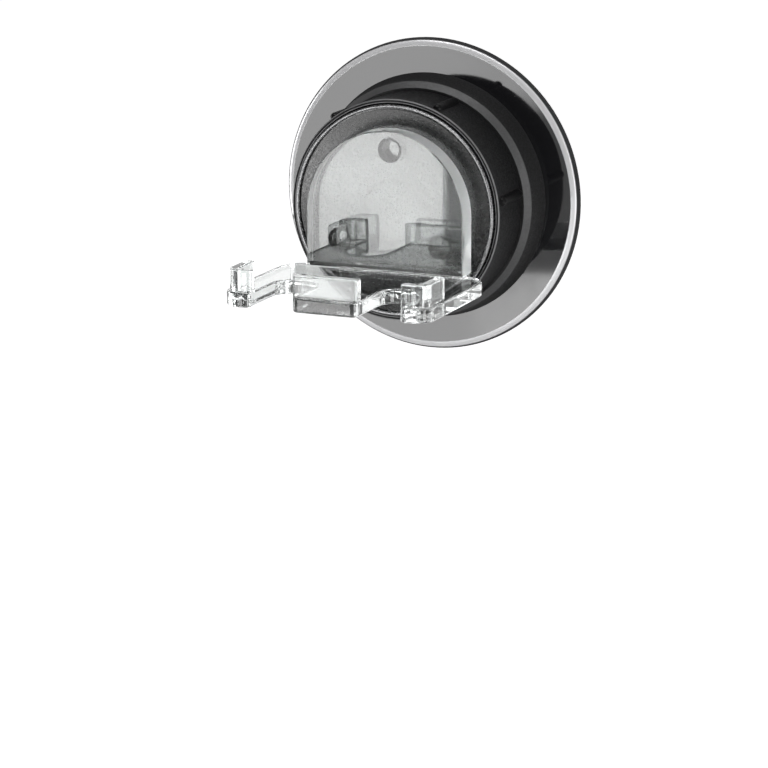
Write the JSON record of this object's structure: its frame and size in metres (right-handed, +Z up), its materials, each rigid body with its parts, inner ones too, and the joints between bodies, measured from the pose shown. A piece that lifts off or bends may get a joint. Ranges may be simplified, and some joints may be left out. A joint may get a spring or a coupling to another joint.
{
  "type": "suction toothbrush holder",
  "caption": "Wall toothbrush holder: clear slotted rack on a round twist-lock suction base with a gloss disc, ribbed twist ring and dished cover.",
  "frame": {"origin": "on the axis of the round base, in the plane of the wall that the suction pad holds to", "axes": "+Y into the wall along the base's axis, +Z up, +X to the right as seen by someone facing the wall"},
  "size_m": [0.072, 0.0631, 0.072],
  "materials": {
    "pad": "soft satin moulding with a finely ribbed edge",
    "inner_plastic": "plain moulded plastic",
    "gloss_black": "high-gloss black moulding",
    "textured_black": "fine sand-textured black moulding",
    "slip_plastic": "plain slippery moulded plastic",
    "screw_steel": "plated steel",
    "clear": "polished clear moulding"
  },
  "bodies": {
    "base": {"suction_pad": "pad", "pressure_disc": "gloss_black", "base_ring": "textured_black", "ring_screws": "screw_steel", "slip_washer": "slip_plastic"},
    "ring": {"twist_ring": "textured_black", "drive_nut": "slip_plastic"},
    "carriage": {"pad_post": "inner_plastic", "front_cover": "textured_black", "screw_washer": "screw_steel", "centre_screw": "screw_steel", "screw_cap": "textured_black", "toothbrush_rack": "clear"}
  },
  "joints": [
    {"name": "ring_turn", "type": "hinge", "parent": "base", "child": "ring", "pos_m": [0, 0, 0], "axis": [0, -1, 0], "range_deg": [0, 120]},
    {"name": "pad_lift", "type": "slide", "parent": "base", "child": "carriage", "axis": [0, 1, 0], "range_m": [0, 0.0025], "deforming": ["suction_pad"]}
  ],
  "couplings": [
    {"joint": "pad_lift", "follows": "ring_turn", "m_per_rad": 0.0011937}
  ]
}
